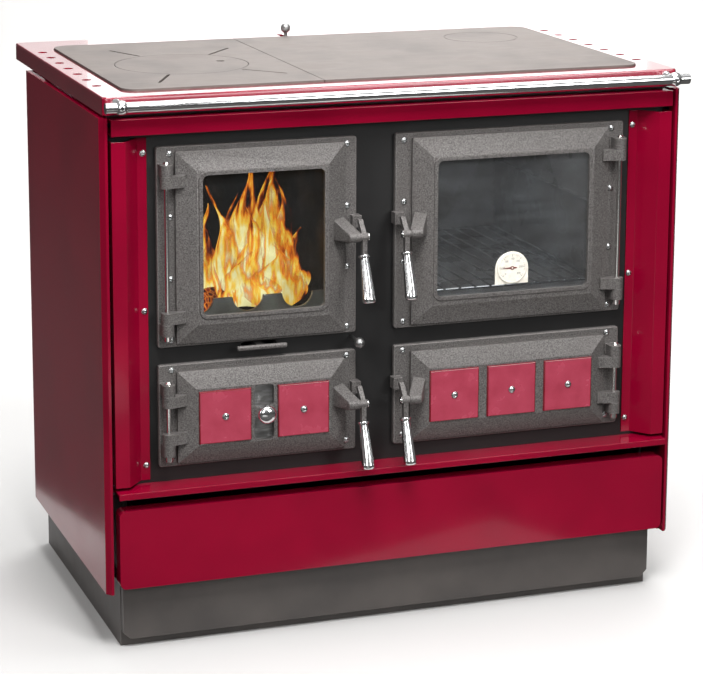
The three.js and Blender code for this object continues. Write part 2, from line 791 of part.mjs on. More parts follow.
function fireplace() {
  const low = bedHigh + fit;
  const high = coreHigh - 45;
  const thick = 30;
  const left = box(fireLeft + fit, fireLeft + thick, coreFront + 8, coreBack - 40, low, high);
  const right = box(fireRight - thick, fireRight - fit, coreFront + 8, coreBack - 40, low, high);
  const back = box(fireLeft + fit, fireRight - fit, coreBack - 38, coreBack - coreThick - fit, low, high);
  add("firebrick_left", left, "brick");
  add("firebrick_right", right, "brick");
  add("firebrick_back", back, "brick");

  const bed = box(fireLeft + fit, fireRight - fit, coreFront + fit, coreBack - coreThick - fit,
    shelfHigh + fit, bedHigh);
  const x = [grate.x - grate.half - grate.travel - 2, grate.x + grate.half + grate.travel + 2];
  const opening = box(...x, grate.y0 - 2, grate.y1 + 2, shelfHigh, bedHigh + 1);
  const lever = box(grate.x - 30, grate.x + 30, coreFront, grate.y0, shelfHigh, bedHigh - 4);
  const channel = box(airPort[0] - 10, airPort[1] + 10, coreFront, airPort[3] + 12,
    shelfHigh, shelfHigh + 11);
  const rib = (y) => box(...x, y, y + 8, shelfHigh + fit, shelfHigh + 2.5);
  const ribs = [rib(grate.y0 + 60), rib(grate.y1 - 68)];
  add("grate_bed", join(cut(bed, opening, lever, channel), ...ribs), "castGrey");

  const top = bedHigh + 62;
  const guardY = coreFront + 9;
  const [g0, g1] = [fireLeft + thick + 1, fireRight - thick - 1];
  const guard = prism("y", rect([g0, g1, low, top], 3, 2), guardY, guardY + 6);
  const notches = [-0.24, 0, 0.24].map((k) =>
    rod("y", [(g0 + g1) / 2 + k * (g1 - g0), top + 2], 24, guardY - 1, guardY + 7, 28));
  add("log_guard", cut(guard, ...notches), "castGrey");
}

function grateParts() {
  const low = grate.barZ - 3;
  const high = grate.barZ + 6;
  const y = [grate.y0, grate.y1];
  const x = [grate.x - grate.half, grate.x + grate.half];
  const plate = box(...x, ...y, low, high);
  const slots = Array.from({ length: 6 }, (_, i) => {
    const sx = x[0] + 12 + (i * (x[1] - x[0] - 24)) / 5;
    return prism("z", rect([sx - 4, sx + 4, y[0] + 14, y[1] - 14], 3.9, 2), low - 1, high + 1);
  });
  const arm = box(grate.x - 6, grate.x + 6, 9, y[0] + 2, low, low + 5);
  const bar = turned(
    [
      [0, -38],
      [3, -38],
      [3.9, -36.5],
      [3.9, 36.5],
      [3, 38],
      [0, 38],
    ],
    [grate.x, 9, grate.barZ - 0.5],
    X,
    12,
  );
  add("grate", join(cut(plate, ...slots), arm, bar), "castGrey");
}

function airRodPart() {
  const ball = solid(new THREE.SphereGeometry(8, 16, 10).translate(airRod.x, -15, airRod.z));
  const shank = rod("y", [airRod.x, airRod.z], 3, -12, airRod.blade + 6, 12);
  const blade = box(airPort[0] - 5, airPort[1] + 5, airRod.blade, airPort[3] + 5,
    shelfHigh + 1, shelfHigh + 4);
  add("air_rod", join(ball, shank, blade), "bareSteel");
}

function oven() {
  const { leaf } = doors.oven;
  const x = [leaf[0] + 5.5, leaf[1]];
  const [low, high] = [doors.oven.low + 43, coreHigh - 60];
  const back = coreBack - 48;
  const outer = box(x[0] - 2, x[1] + 2, coreFront + fit, back + 2, low - 2, high + 2);
  const inner = box(...x, coreFront - 1, back, low, high);
  const feet = box(x[0] + 150, x[0] + 156, coreFront + 20, back - 60, shelfHigh + fit, low - 1);
  const guides = [low + 1, low + 120].flatMap((z) => [
    box(x[0] - 1, x[0] + 7, coreFront + 15, back - 10, z, z + 2),
    box(x[1] - 7, x[1] + 1, coreFront + 15, back - 10, z, z + 2),
  ]);
  add("oven_box", join(cut(outer, inner), feet, ...guides), "ovenEnamel");

  const z = low + 3 + fit + 2.5;
  const y = [coreFront + 8, back - 20];
  const rail = (x0) => rod("y", [x0, z], 2.5, y[0] - 5, y[1] + 5, 8);
  const bar = (at) => rod("x", [at, z], 2.1, x[0] + 5, x[1] - 5, 6);
  const wires = Array.from({ length: 11 }, (_, i) =>
    rod("y", [x[0] + 32 + (i * (x[1] - x[0] - 64)) / 10, z + 2.4], 1.7, y[0] - 3, y[1] + 3, 6));
  add("oven_rack", join(rail(x[0] + 6), rail(x[1] - 6), bar(y[0]), bar(y[1]), ...wires), "chrome");
}

function flueBox() {
  const x = [flue.x - flue.half, flue.x + flue.half];
  const front0 = coreBack + fit;
  const outer = box(...x, front0, flue.back, flue.low, flue.high);
  const inner = box(x[0] + 2, x[1] - 2, front0 - 1, flue.back - 2, flue.low + 2, flue.high - 2);
  const collar = rod("y", [flue.x, flueZ], flue.radius, flue.back - 1, depth + 15, 40);
  const bore = rod("y", [flue.x, flueZ], flue.radius - 2, flue.back - 3, depth + 16, 40);
  const top = box(flue.x - 50, flue.x + 50, coreBack + 6, coreBack + 32, flue.high - 4, flue.high + 1);
  add("flue_box", cut(join(cut(outer, inner), collar), bore, top), "blackSteel");
}

function ashPan() {
  const { opening } = doors.ash;
  const [x0, x1] = [opening[0] + 10, opening[1] - 6];
  const outer = box(x0, x1, coreFront + 8, grate.y1 + 40, hearthHigh + fit, hearthHigh + 68);
  const inner = box(x0 + 2, x1 - 2, coreFront + 10, grate.y1 + 38, hearthHigh + 2.3, hearthHigh + 70);
  add("ash_pan", cut(outer, inner), "bareSteel");
}

// The stove ------------------------------------------------------------------------------

plinth();
drawer();
carcass();
frontPlate();
sidePanels();
pilasters();
trims();
topFrame();
cooktops();
damperSlide();
railAndBrackets();
for (const [name, door] of Object.entries(doors)) {
  doorFrame(door, name);
  leverAndGrip(door, name);
}
for (const name of ["fire", "oven"]) {
  add(name + "_leaf", leafBody(doors[name]), "castGrey");
  glazing(doors[name], name);
}
for (const name of ["fire", "oven"]) seal(doors[name], name);
ashLeaf();
add("lower_leaf", leafBody(doors.lower), "castGrey");
tileSet("ash");
tileSet("lower");
thermometer();
fireplace();
grateParts();
airRodPart();
oven();
flueBox();
ashPan();

export default stove;
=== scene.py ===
import json
import math
import random
import bmesh
import bpy
from mathutils import Matrix, Vector

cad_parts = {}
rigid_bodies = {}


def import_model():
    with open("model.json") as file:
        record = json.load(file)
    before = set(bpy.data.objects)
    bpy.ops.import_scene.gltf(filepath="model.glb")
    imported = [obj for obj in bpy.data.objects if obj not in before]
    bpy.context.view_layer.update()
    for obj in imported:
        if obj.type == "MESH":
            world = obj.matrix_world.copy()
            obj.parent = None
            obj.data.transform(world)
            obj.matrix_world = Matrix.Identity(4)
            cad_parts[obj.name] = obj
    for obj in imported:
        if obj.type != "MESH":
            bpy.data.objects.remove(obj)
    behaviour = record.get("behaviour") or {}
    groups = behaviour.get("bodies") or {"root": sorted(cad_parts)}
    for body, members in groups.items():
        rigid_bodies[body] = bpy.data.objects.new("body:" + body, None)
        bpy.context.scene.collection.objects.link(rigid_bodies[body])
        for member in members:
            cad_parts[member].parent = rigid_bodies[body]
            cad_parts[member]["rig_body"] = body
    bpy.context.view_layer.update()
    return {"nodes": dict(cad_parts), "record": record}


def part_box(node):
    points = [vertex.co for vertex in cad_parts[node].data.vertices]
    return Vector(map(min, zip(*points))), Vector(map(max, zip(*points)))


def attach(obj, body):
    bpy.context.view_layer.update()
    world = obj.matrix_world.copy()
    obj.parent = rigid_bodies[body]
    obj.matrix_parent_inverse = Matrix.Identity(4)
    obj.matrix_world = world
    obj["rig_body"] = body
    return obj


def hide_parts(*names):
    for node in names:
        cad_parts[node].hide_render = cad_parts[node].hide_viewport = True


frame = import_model()
random.seed(7)
mm = 0.001


def linearColor(code):
    # sRGB hex to linear colour
    values = [int(code[i:i + 2], 16) / 255 for i in (1, 3, 5)]
    return [v / 12.92 if v <= 0.04045 else ((v + 0.055) / 1.055) ** 2.4 for v in values] + [1]


def addNode(tree, kind, settings=None, links=None):
    # settings go on the node, links fill its sockets with values or with other sockets
    node = tree.nodes.new(kind)
    for key, value in (settings or {}).items():
        setattr(node, key, value)
    for key, value in (links or {}).items():
        if isinstance(value, bpy.types.NodeSocket):
            tree.links.new(value, node.inputs[key])
        else:
            node.inputs[key].default_value = value
    return node


def newMaterial(name, **shader):
    material = bpy.data.materials.new(name)
    material.use_nodes = True
    tree = material.node_tree
    tree.nodes.clear()
    output = addNode(tree, "ShaderNodeOutputMaterial")
    bsdf = addNode(tree, "ShaderNodeBsdfPrincipled", links=shader)
    tree.links.new(bsdf.outputs[0], output.inputs["Surface"])
    place = addNode(tree, "ShaderNodeTexCoord").outputs["Object"]
    return material, tree, bsdf, place


def noiseOf(tree, place, size, detail=3.0, rough=0.55, stretch=None):
    # size is the grain in metres, stretch squeezes the grain along an axis
    if stretch:
        place = addNode(tree, "ShaderNodeMapping", links={"Vector": place, "Scale": stretch}).outputs[0]
    return addNode(tree, "ShaderNodeTexNoise", links={
        "Vector": place, "Scale": 1 / size, "Detail": detail, "Roughness": rough}).outputs["Fac"]


def rampOf(tree, factor, stops):
    ramp = addNode(tree, "ShaderNodeValToRGB", links={"Fac": factor})
    elements = ramp.color_ramp.elements
    while len(elements) < len(stops):
        elements.new(0.5)
    for element, (position, color) in zip(elements, stops):
        element.position = position
        element.color = linearColor(color) if isinstance(color, str) else [color] * 3 + [1]
    return ramp.outputs["Color"]


def mixOf(tree, factor, a, b, blend="MIX"):
    node = addNode(tree, "ShaderNodeMix", {"data_type": "RGBA", "blend_type": blend})
    for socket, value in ((node.inputs["Factor"], factor), (node.inputs[6], a), (node.inputs[7], b)):
        if isinstance(value, bpy.types.NodeSocket):
            tree.links.new(value, socket)
        else:
            socket.default_value = linearColor(value) if isinstance(value, str) else value
    return node.outputs[2]


def rangeOf(tree, factor, low, high, start=0.0, end=1.0):
    return addNode(tree, "ShaderNodeMapRange", links={
        "Value": factor, "From Min": start, "From Max": end, "To Min": low, "To Max": high}).outputs[0]


def bumpOf(tree, height, strength, distance):
    return addNode(tree, "ShaderNodeBump", links={
        "Height": height, "Strength": strength, "Distance": distance}).outputs[0]


def edgeMask(tree):
    return addNode(tree, "ShaderNodeAttribute", {"attribute_name": "edge"}).outputs["Fac"]


enamelLook = {"color": "#7b0222", "shade": "#6f011e", "waviness": 0.02}


def enamel(name, coat, specular):
    # vitreous enamel on sheet steel: deep wet gloss over a barely wavy, slightly clouded red
    material, tree, bsdf, place = newMaterial(name, **{
        "Coat Weight": coat, "Coat Roughness": 0.05, "Specular IOR Level": specular})
    cloud = noiseOf(tree, place, 140 * mm, 2)
    orange = noiseOf(tree, place, 9 * mm, 2, 0.4)
    speck = noiseOf(tree, place, 0.8 * mm, 2, 0.5)
    tone = rampOf(tree, cloud, [(0.3, enamelLook["shade"]), (0.62, enamelLook["color"])])
    tone = mixOf(tree, rangeOf(tree, speck, 0, 0.1, 0.5, 0.75), tone, "#a8103a")
    tone = mixOf(tree, rangeOf(tree, edgeMask(tree), 0, 0.35), tone, "#5c0016")
    tree.links.new(tone, bsdf.inputs["Base Color"])
    tree.links.new(rangeOf(tree, cloud, 0.12, 0.17, 0.3, 0.7), bsdf.inputs["Roughness"])
    tree.links.new(bumpOf(tree, orange, enamelLook["waviness"], 0.4 * mm), bsdf.inputs["Normal"])
    return material


def tileGlaze():
    # thick glaze on small tiles: crimson that pools darker at the rims; its pale pink tone is partly a
    # painted reflection of the bright floor in front
    material, tree, bsdf, place = newMaterial("crimson tile glaze", **{
        "Coat Weight": 0.8, "Coat Roughness": 0.06})
    cloud = noiseOf(tree, place, 30 * mm, 3)
    speck = noiseOf(tree, place, 1.2 * mm, 2)
    # the pink tones below are partly painted reflection, on top of the glaze's own random cloud and specks
    tone = rampOf(tree, cloud, [(0.3, "#8c2c3e"), (0.65, "#9a374a")])
    tone = mixOf(tree, rangeOf(tree, speck, 0, 0.2, 0.5, 0.8), tone, "#b45062")
    tone = mixOf(tree, edgeMask(tree), tone, "#64000f")
    tree.links.new(tone, bsdf.inputs["Base Color"])
    tree.links.new(rangeOf(tree, cloud, 0.16, 0.3, 0.3, 0.7), bsdf.inputs["Roughness"])
    tree.links.new(bumpOf(tree, noiseOf(tree, place, 12 * mm, 2), 0.06, 0.5 * mm), bsdf.inputs["Normal"])
    return material


castLook = {"dark": "#322e2d", "light": "#73706e", "worn": "#96918e", "grain": 1.9}


def castPaint():
    # stove paint over sand-cast iron: pitted grain that catches light, rubbed paler on the edges
    material, tree, bsdf, place = newMaterial("grey stove paint on cast iron", Metallic=0.35)
    grain = noiseOf(tree, place, castLook["grain"] * mm, 3, 0.65)
    cloud = noiseOf(tree, place, 60 * mm, 3)
    tone = rampOf(tree, grain, [(0.34, castLook["dark"]), (0.66, castLook["light"])])
    tone = mixOf(tree, rangeOf(tree, cloud, 0, 0.3, 0.35, 0.7), tone, "#5a5553")
    tone = mixOf(tree, rangeOf(tree, edgeMask(tree), 0, 0.6), tone, castLook["worn"])
    tree.links.new(tone, bsdf.inputs["Base Color"])
    tree.links.new(rangeOf(tree, grain, 0.42, 0.66, 0.3, 0.7), bsdf.inputs["Roughness"])
    tree.links.new(bumpOf(tree, grain, 0.55, 0.4 * mm), bsdf.inputs["Normal"])
    return material


def groundIron():
    # machined cooktop: satin grey with long fine grinding marks and faint heat stains
    material, tree, bsdf, place = newMaterial("ground cast iron", Metallic=0.5)
    marks = noiseOf(tree, place, 2.4 * mm, 4, 0.6, (0.03, 1.0, 1.0))
    cloud = noiseOf(tree, place, 90 * mm, 4)
    tone = rampOf(tree, cloud, [(0.32, "#554f4c"), (0.55, "#645d59"), (0.72, "#5b534f")])
    tone = mixOf(tree, rangeOf(tree, marks, 0, 0.35, 0.4, 0.7), tone, "#7f7772")
    tone = mixOf(tree, rangeOf(tree, edgeMask(tree), 0, 0.5), tone, "#3f3b39")
    tree.links.new(tone, bsdf.inputs["Base Color"])
    tree.links.new(rangeOf(tree, marks, 0.5, 0.66, 0.3, 0.7), bsdf.inputs["Roughness"])
    tree.links.new(bumpOf(tree, marks, 0.12, 0.1 * mm), bsdf.inputs["Normal"])
    return material


def sheetPaint(name, dark, light, roughness):
    # satin stove paint on flat sheet: even, with a soft cloud and a very fine spray texture
    material, tree, bsdf, place = newMaterial(name)
    cloud = noiseOf(tree, place, 80 * mm, 4)
    spray = noiseOf(tree, place, 0.9 * mm, 2, 0.5)
    tone = rampOf(tree, cloud, [(0.3, dark), (0.7, light)])
    tone = mixOf(tree, rangeOf(tree, edgeMask(tree), 0, 0.4), tone, "#76706c")
    tree.links.new(tone, bsdf.inputs["Base Color"])
    gloss = rangeOf(tree, cloud, roughness - 0.06, roughness + 0.08, 0.3, 0.7)
    tree.links.new(gloss, bsdf.inputs["Roughness"])
    tree.links.new(bumpOf(tree, spray, 0.12, 0.1 * mm), bsdf.inputs["Normal"])
    return material


def polished(name, color, low, high, size):
    # plated or bare metal: mirror-like with hairline scratches that break the highlights
    material, tree, bsdf, place = newMaterial(name, Metallic=1.0)
    hair = noiseOf(tree, place, size, 3, 0.6, (0.15, 1.0, 1.0))
    tone = mixOf(tree, rangeOf(tree, hair, 0, 0.25, 0.45, 0.75), color, "#f2f3f4")
    tree.links.new(tone, bsdf.inputs["Base Color"])
    tree.links.new(rangeOf(tree, hair, low, high, 0.35, 0.7), bsdf.inputs["Roughness"])
    tree.links.new(bumpOf(tree, hair, 0.03, 0.05 * mm), bsdf.inputs["Normal"])
    return material


def stoveGlass(name, tint, haze):
    # clear glass ceramic with a breath of soot and a wiped haze in slanting streaks
    material, tree, bsdf, place = newMaterial(name, Roughness=0.03, IOR=1.5)
    smoke = noiseOf(tree, place, 55 * mm, 4)
    slant = addNode(tree, "ShaderNodeMapping", links={
        "Vector": place, "Rotation": (0, math.radians(-24), 0), "Scale": (0.06, 1.0, 1.0)}).outputs[0]
    streak = noiseOf(tree, slant, 9 * mm, 3)
    clear = rangeOf(tree, streak, 1 - haze, 1 - 0.55 * haze, 0.35, 0.7)
    tree.links.new(clear, bsdf.inputs["Transmission Weight"])
    tree.links.new(rampOf(tree, smoke, [(0.35, tint), (0.75, "#cfd6dc")]), bsdf.inputs["Base Color"])
    tree.links.new(bumpOf(tree, noiseOf(tree, place, 70 * mm, 1), 0.02, 1 * mm), bsdf.inputs["Normal"])
    return material


def rope():
    # braided glass fibre: matte, with a tight diagonal weave
    material, tree, bsdf, place = newMaterial("braided glass rope", Roughness=0.95)
    weave = addNode(tree, "ShaderNodeTexWave", {"bands_direction": "DIAGONAL"}, {
        "Vector": place, "Scale": 1 / (9 * mm), "Distortion": 1.5}).outputs["Fac"]
    tree.links.new(rampOf(tree, weave, [(0.2, "#5e5a52"), (0.8, "#a59f92")]), bsdf.inputs["Base Color"])
    tree.links.new(bumpOf(tree, weave, 0.7, 0.8 * mm), bsdf.inputs["Normal"])
    return material


def firebrick():
    # pale vermiculite board, flaked and blackened by soot
    material, tree, bsdf, place = newMaterial("firebrick", Roughness=0.95)
    flake = addNode(tree, "ShaderNodeTexVoronoi", links={
        "Vector": place, "Scale": 1 / (4 * mm)}).outputs["Distance"]
    soot = noiseOf(tree, place, 120 * mm, 5)
    tone = rampOf(tree, flake, [(0.1, "#8f7a5f"), (0.6, "#c0a888")])
    tone = mixOf(tree, rangeOf(tree, soot, 0.8, 0.99, 0.35, 0.6), tone, "#100d0b")
    tree.links.new(tone, bsdf.inputs["Base Color"])
    tree.links.new(bumpOf(tree, flake, 0.25, 0.5 * mm), bsdf.inputs["Normal"])
    return material


def speckledEnamel():
    # pale grey oven enamel with lighter specks, quite glossy, so that the dim inside still reads
    material, tree, bsdf, place = newMaterial("speckled oven enamel")
    speck = noiseOf(tree, place, 1.6 * mm, 1)
    cloud = noiseOf(tree, place, 60 * mm, 3)
    tree.links.new(rampOf(tree, speck, [(0.66, "#8a8682"), (0.72, "#b5b0ab")]), bsdf.inputs["Base Color"])
    tree.links.new(rangeOf(tree, cloud, 0.2, 0.4, 0.3, 0.7), bsdf.inputs["Roughness"])
    tree.links.new(bumpOf(tree, cloud, 0.1, 1 * mm), bsdf.inputs["Normal"])
    return material


def dialFace():
    # cream printed dial with a trace of mottling
    material, tree, bsdf, place = newMaterial("printed dial", Roughness=0.4)
    cloud = noiseOf(tree, place, 8 * mm, 4)
    tree.links.new(rampOf(tree, cloud, [(0.3, "#cfc9bd"), (0.7, "#e6e2d8")]), bsdf.inputs["Base Color"])
    tree.links.new(bumpOf(tree, noiseOf(tree, place, 0.5 * mm, 2), 0.05, 0.05 * mm), bsdf.inputs["Normal"])
    return material


def inkBlack():
    # printed marks on the dial: flat black with a trace of unevenness
    material, tree, bsdf, place = newMaterial("black lacquer", Roughness=0.35)
    cloud = noiseOf(tree, place, 3 * mm, 3)
    tree.links.new(rampOf(tree, cloud, [(0.3, "#0e0e0f"), (0.7, "#1d1c1c")]), bsdf.inputs["Base Color"])
    return material


fireLook = {"core": "#fff6b4", "yellow": "#ffcf45", "orange": "#f27c0c", "red": "#8f2002", "strength": 1.75}


def flame():
    # glowing gas: pale yellow core, orange sides, dark red ragged tips that fade out
    material, tree, bsdf, place = newMaterial("flame", Roughness=1.0)
    across = addNode(tree, "ShaderNodeUVMap").outputs[0]
    parts = addNode(tree, "ShaderNodeSeparateXYZ", links={"Vector": across})
    middle = addNode(tree, "ShaderNodeMath", {"operation": "PINGPONG"}, {
        0: parts.outputs["X"], 1: 0.5}).outputs[0]
    lick = noiseOf(tree, place, 15 * mm, 3, 0.5, (1.5, 1.0, 0.26))
    heat = addNode(tree, "ShaderNodeMath", {"operation": "MULTIPLY_ADD"}, {
        0: middle, 1: 1.15, 2: rangeOf(tree, lick, -0.34, 0.34, 0.3, 0.7)}).outputs[0]
    heat = addNode(tree, "ShaderNodeMath", {"operation": "ADD"}, {
        0: heat, 1: rangeOf(tree, parts.outputs["Y"], 0.55, -0.16)}).outputs[0]
    tone = rampOf(tree, heat, [(0.24, fireLook["red"]), (0.44, fireLook["orange"]),
                               (0.62, fireLook["yellow"]), (0.84, fireLook["core"])])
    tree.links.new(tone, bsdf.inputs["Emission Color"])
    bsdf.inputs["Emission Strength"].default_value = fireLook["strength"]
    bsdf.inputs["Base Color"].default_value = linearColor("#200a02")
    tree.links.new(rangeOf(tree, heat, 0.0, 1.0, 0.14, 0.52), bsdf.inputs["Alpha"])
    return material


def ember():
    # charred wood whose fine cracks glow only at the left end of the fire
    material, tree, bsdf, place = newMaterial("glowing embers", Roughness=0.9)
    cell = addNode(tree, "ShaderNodeTexVoronoi", {"feature": "DISTANCE_TO_EDGE"}, {
        "Vector": place, "Scale": 1 / (7 * mm)}).outputs["Distance"]
    char = noiseOf(tree, place, 8 * mm, 4)
    tree.links.new(rampOf(tree, char, [(0.3, "#0d0a09"), (0.7, "#2b211c")]), bsdf.inputs["Base Color"])
    tree.links.new(rampOf(tree, cell, [(0.0, "#ffb23a"), (0.1, "#c93000"), (0.3, "#000000")]),
                   bsdf.inputs["Emission Color"])
    along = addNode(tree, "ShaderNodeSeparateXYZ", links={"Vector": place}).outputs["X"]
    tree.links.new(rangeOf(tree, along, 1.7, 0.0, -0.285, -0.25), bsdf.inputs["Emission Strength"])
    tree.links.new(bumpOf(tree, char, 0.8, 2 * mm), bsdf.inputs["Normal"])
    return material


def studio(name, color, roughness):
    # plain paper or floor in one colour
    return newMaterial(name, **{"Base Color": linearColor(color), "Roughness": roughness})[0]


looks = {
    "crimson_enamel": enamel("crimson vitreous enamel", 0.12, 0.32),
    "tile_enamel": tileGlaze(),
    "cast_grey": castPaint(),
    "cast_plate": groundIron(),
    "black_steel": sheetPaint("black stove paint", "#060505", "#0c0b0b", 0.45),
    "brown_steel": sheetPaint("dark grey stove paint", "#332f2d", "#423d3a", 0.5),
    "bare_steel": polished("bare steel", "#8c8c8b", 0.28, 0.5, 3 * mm),
    "chrome": polished("chrome plate", "#d8d8d8", 0.09, 0.2, 4 * mm),
    "stove_glass": stoveGlass("fire glass", "#a5a49d", 0.012),
    "rope": rope(),
    "firebrick": firebrick(),
    "oven_enamel": speckledEnamel(),
    "dial": dialFace(),
}
wetEnamel = enamel("crimson enamel, thick wet coat", 1.0, 0.6)
# the log guard is mid grey; this much paler colour is painted light, standing in for light that barely
# reaches it behind the glass
guardGreyWithPaintedLight = sheetPaint("heatproof grey paint, lightened as painted light", "#b3b4ad", "#c4c4bd", 0.6)
hazyGlass = stoveGlass("oven glass", "#aeb0b2", 0.05)
pinSteel = polished("drawn bright steel", "#e6e4e1", 0.08, 0.2, 2 * mm)
pointer = sheetPaint("dark red lacquer", "#5a130f", "#75201a", 0.35)
zinc = polished("zinc plate", "#a9abab", 0.2, 0.36, 2 * mm)
ink = inkBlack()
print("materials ready")


def bodyOf(node):
    return frame["nodes"][node]["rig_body"]


slots = {part["node"]: part["material_slot"] for part in frame["record"]["subparts"]}
dressLook = {
    # millimetres and degrees
    "weld": 0.003, "flat": 0.6, "sharp": 30, "foldLength": 20, "foldAngle": 8, "pinReach": 6,
}


def jointPlace(name):
    return next(Vector(j["pos_m"]) for j in frame["record"]["behaviour"]["joints"] if j["name"] == name)


def middleOf(node):
    low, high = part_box(node)
    return (low + high) / 2


def inMetres(profile):
    return [(radius * mm, height * mm) for radius, height in profile]


def pinFaces(node):
    # the hinge pin of a door frame is the only thing this close to the hinge axis
    axis = jointPlace(node.replace("_door_frame", "_door_hinge"))
    reach = dressLook["pinReach"] * mm
    return lambda face: all((v.co.xy - axis.xy).length < reach for v in face.verts)


def finishMesh(bm, name, material, sharpAngle=38):
    mesh = bpy.data.meshes.new(name)
    for face in bm.faces:
        face.smooth = True
    bm.to_mesh(mesh)
    bm.free()
    mesh.materials.append(material)
    mesh.set_sharp_from_angle(angle=math.radians(sharpAngle))
    piece = bpy.data.objects.new(name, mesh)
    bpy.context.scene.collection.objects.link(piece)
    normals = piece.modifiers.new("normals", "WEIGHTED_NORMAL")
    normals.keep_sharp = True
    return piece


def dress(node, bevel, plated=None, material=None):
    # the CAD node as clean faces with rounded, masked edges
    bm = bmesh.new()
    bm.from_mesh(frame["nodes"][node].data)
    flat, corner, fold = (math.radians(dressLook[key]) for key in ("flat", "sharp", "foldAngle"))
    bmesh.ops.remove_doubles(bm, verts=bm.verts, dist=dressLook["weld"] * mm)
    bmesh.ops.dissolve_limit(bm, angle_limit=flat, verts=bm.verts, edges=bm.edges)
    sharp = [e for e in bm.edges if len(e.link_faces) == 2 and e.calc_face_angle(0) > corner]
    mask = bm.faces.layers.float.new("edge")
    if sharp and bevel:
        rounds = bmesh.ops.bevel(bm, geom=sharp, offset=bevel, offset_type="OFFSET", segments=2,
                                 profile=0.5, affect="EDGES", clamp_overlap=True)
        for face in rounds["faces"]:
            face[mask] = 1.0
    bm.faces.index_update()
    bm.edges.index_update()
    shiny = [face.index for face in bm.faces if plated(face)] if plated else []
    mitres = []
    if node.endswith("_leaf"):
        # the long shallow folds of a leaf stay crisp, the short facets of its round hub stay smooth
        shortest = dressLook["foldLength"] * mm
        mitres = [e.index for e in bm.edges if len(e.link_faces) == 2 and e.calc_length() > shortest
                  and not any(face[mask] for face in e.link_faces) and e.calc_face_angle(0) > fold]
    piece = finishMesh(bm, node + "_dressed", material or looks[slots[node]])
    for index in mitres:
        piece.data.edges[index].use_edge_sharp = True
    if shiny:
        piece.data.materials.append(pinSteel)
        for index in shiny:
            piece.data.polygons[index].material_index = 1
    settle(piece, bodyOf(node), slots[node], node)


def settle(piece, body, slot, *nodes):
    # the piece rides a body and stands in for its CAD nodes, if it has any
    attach(piece, body)
    if nodes:
        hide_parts(*nodes)


def turnedMesh(bm, profile, base, direction, steps=32, wave=None):
    # profile is (radius, height) in metres; wave(angle, height) scales the radius
    turn = Vector((0, 0, 1)).rotation_difference(Vector(direction)).to_matrix()
    rings = []
    for radius, height in profile:
        if radius < 1e-7:
            rings.append([bm.verts.new(Vector(base) + turn @ Vector((0, 0, height)))])
            continue
        ring = []
        for i in range(steps):
            angle = 2 * math.pi * i / steps
            r = radius * (wave(angle, height) if wave else 1)
            corner = Vector((r * math.cos(angle), r * math.sin(angle), height))
            ring.append(bm.verts.new(Vector(base) + turn @ corner))
        rings.append(ring)
    for low, high in zip(rings, rings[1:]):
        for i in range(steps):
            # a ring of one point closes the end, so its repeated corner is dropped
            corners = [low[i % len(low)], low[(i + 1) % len(low)],
                       high[(i + 1) % len(high)], high[i % len(high)]]
            corners = list(dict.fromkeys(corners))
            if len(corners) > 2:
                bm.faces.new(corners)


edgeWidth = {
    # how far the edges are rounded in each slot
    "crimson_enamel": 0.9 * mm, "tile_enamel": 0.8 * mm, "cast_grey": 0.8 * mm, "cast_plate": 0.7 * mm,
    "black_steel": 0.4 * mm, "brown_steel": 0.5 * mm, "bare_steel": 0.3 * mm, "chrome": 0.3 * mm,
    "stove_glass": 0.3 * mm, "rope": 0.8 * mm, "firebrick": 1.5 * mm, "oven_enamel": 0.5 * mm,
    "dial": 0.2 * mm,
}
grips = [name for name in frame["nodes"] if name.endswith("_grip")]
turned = {"rail", "rail_bracket_left", "rail_bracket_right", "air_knob", *grips}
ownLook = {
    "thermometer_needle": pointer, "top_frame": wetEnamel, "log_guard": guardGreyWithPaintedLight, "oven_glass": hazyGlass,
}
for node in frame["nodes"]:
    if node not in turned:
        dress(node, edgeWidth[slots[node]],
              plated=pinFaces(node) if node.endswith("_door_frame") else None,
              material=ownLook.get(node))
print("CAD nodes dressed")


railLook = {"edge": 1.6, "steps": 6}


def towelRail():
    # plated tube with rounded ends
    low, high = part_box("rail")
    middle = middleOf("rail")
    r = (high.z - low.z) / 2
    edge = railLook["edge"] * mm
    turns = [math.pi / 2 * i / railLook["steps"] for i in range(railLook["steps"] + 1)]
    end = [(r - edge * (1 - math.cos(a)), high.x - edge + edge * math.sin(a)) for a in turns] + [(0, high.x)]
    profile = [(radius, -along) for radius, along in reversed(end)] + end
    bm = bmesh.new()
    turnedMesh(bm, profile, (0, middle.y, middle.z), (1, 0, 0), 48)
    settle(finishMesh(bm, "towel_rail", looks["chrome"]), bodyOf("rail"), "chrome", "rail")


bracketLook = {"ball": 10.9, "dish": 2.6, "foot": 8.9}


def railBracket(side):
    # turned ball with a dished front, on a flaring foot
    node = "rail_bracket_" + side
    low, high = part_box(node)
    middle = middleOf("rail")
    back = (high.y - middle.y) / mm
    ball, dish, foot = (bracketLook[key] for key in ("ball", "dish", "foot"))
    front = [(0, dish - ball), (dish - 0.2, dish - ball), (dish, 0.4 - ball)]
    bowl = [(ball * math.sin(a), -ball * math.cos(a)) for a in [0.3 + i * 2.3 / 18 for i in range(19)]]
    stub = [(6.4, ball * 0.86), (5.9, 13), (6.2, 18), (7.2, 23), (foot - 0.1, 27), (foot, back - 0.3),
            (foot - 0.5, back), (0, back)]
    bm = bmesh.new()
    turnedMesh(bm, inMetres(front + bowl + stub), ((low.x + high.x) / 2, middle.y, middle.z), (0, 1, 0), 40)
    settle(finishMesh(bm, f"ball_bracket_{side}", looks["chrome"]), bodyOf(node), "chrome", node)


gripLook = {
    "flutes": 9, "depth": 0.05, "fluteStart": 9, "fluteEnd": 66, "lean": 20, "collar": 9, "taper": 0.052,
}


